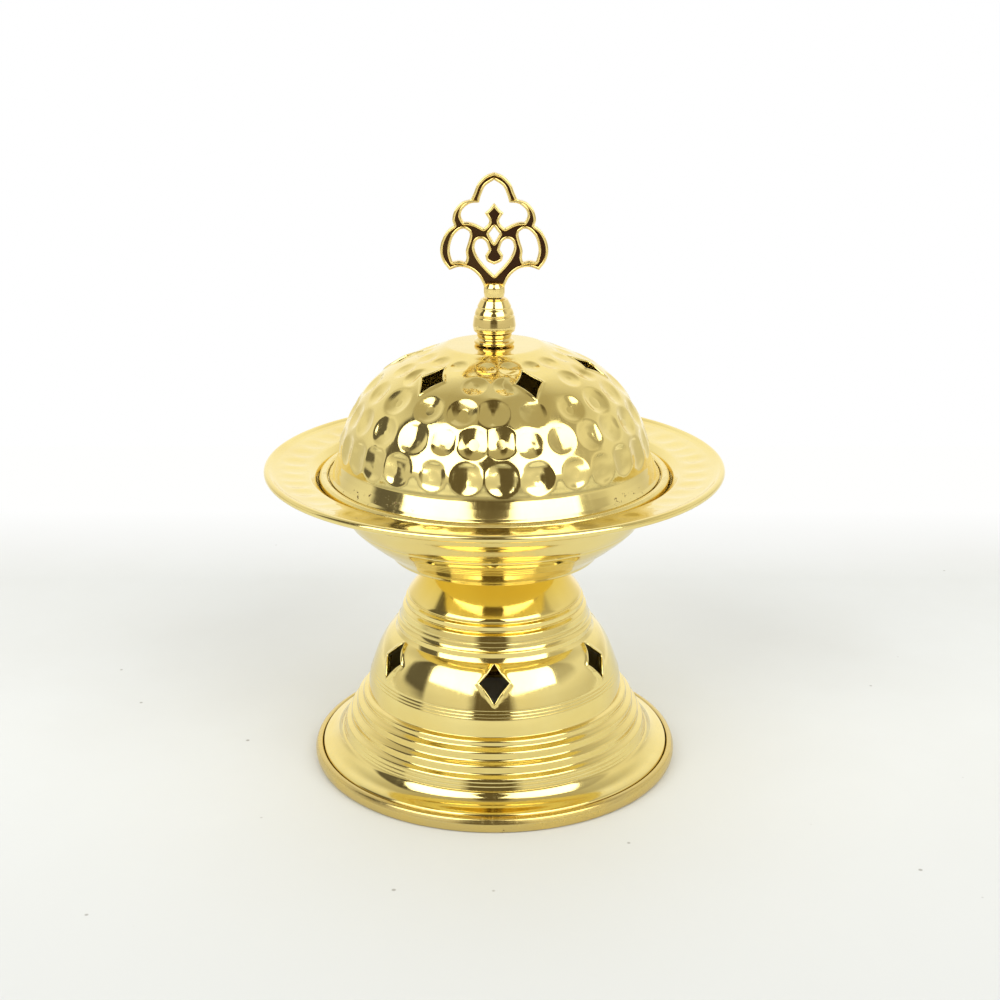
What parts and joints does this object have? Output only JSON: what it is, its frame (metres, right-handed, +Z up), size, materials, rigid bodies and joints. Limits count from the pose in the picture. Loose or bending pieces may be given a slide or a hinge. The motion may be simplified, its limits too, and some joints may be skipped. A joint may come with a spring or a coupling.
{
  "type": "incense burner",
  "caption": "Free-standing brass incense burner: stepped pedestal with diamond vents, wide-rimmed bowl, lift-out ember cup, and hammered domed lid with an openwork finial.",
  "frame": {"origin": "on the floor at the centre of the foot ring", "axes": "+Z up through the centre of pedestal, bowl, lid and finial; the flat openwork crest lies in the XZ plane and the front faces -Y"},
  "size_m": [0.14, 0.14, 0.1833],
  "materials": {
    "spun_brass": "polished, with fine turning lines and light tarnish",
    "hammered_brass": "polished over hammered dimples, tarnish spots along the brim",
    "cup_brass": "satin, dulled by heat",
    "cast_brass": "polished casting with dark recesses",
    "plated_steel": "zinc plated"
  },
  "bodies": {
    "stand": {"foot_ring": "spun_brass", "pedestal": "spun_brass", "bowl": "spun_brass", "bowl_spacer": "spun_brass", "bowl_washer": "plated_steel", "bowl_bolt": "plated_steel", "pedestal_washer": "plated_steel", "bowl_nut": "plated_steel"},
    "cup": {"ember_cup": "cup_brass"},
    "lid": {"lid": "hammered_brass", "lid_washer": "plated_steel", "finial_nut": "plated_steel", "finial_stud": "plated_steel", "finial_collar": "cast_brass", "finial_stem": "cast_brass", "finial_crest": "cast_brass"}
  },
  "joints": [
    {"name": "cup_lift", "type": "slide", "parent": "stand", "child": "cup", "axis": [0, 0, 1], "range_m": [0, 0.045]},
    {"name": "lid_lift", "type": "slide", "parent": "cup", "child": "lid", "axis": [0, 0, 1], "range_m": [0, 0.08]}
  ]
}
